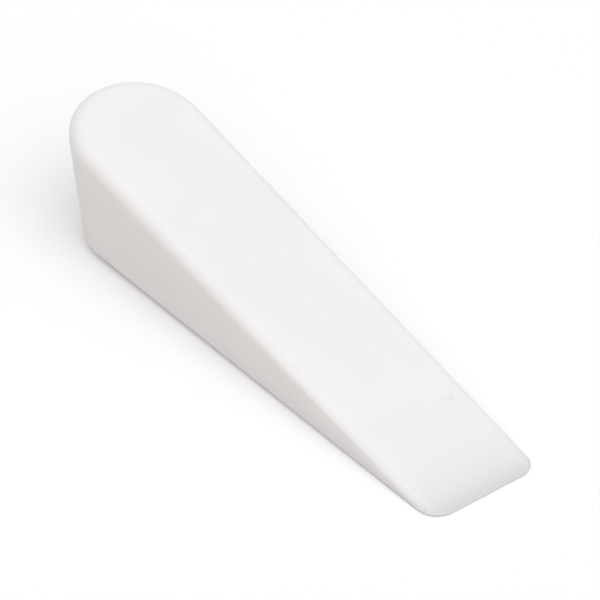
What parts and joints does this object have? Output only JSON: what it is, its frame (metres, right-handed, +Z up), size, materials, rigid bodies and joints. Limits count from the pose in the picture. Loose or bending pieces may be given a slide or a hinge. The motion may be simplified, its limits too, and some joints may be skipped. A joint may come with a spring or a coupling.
{
  "type": "tile wedge",
  "caption": "Small solid plastic wedge with a flat base, a flat sloping face, a tall round heel and a thin rounded nose, for levelling and spacing tiles.",
  "frame": {"origin": "middle of the bottom of the bounding box, on the plane that the base lies on, halfway along the wedge", "axes": "+X from the tall heel to the thin nose, +Y across the width, +Z up from the base"},
  "size_m": [0.03, 0.007, 0.007],
  "materials": {
    "white_plastic": "moulded, fine satin"
  },
  "bodies": {
    "root": {"wedge": "white_plastic"}
  },
  "joints": []
}
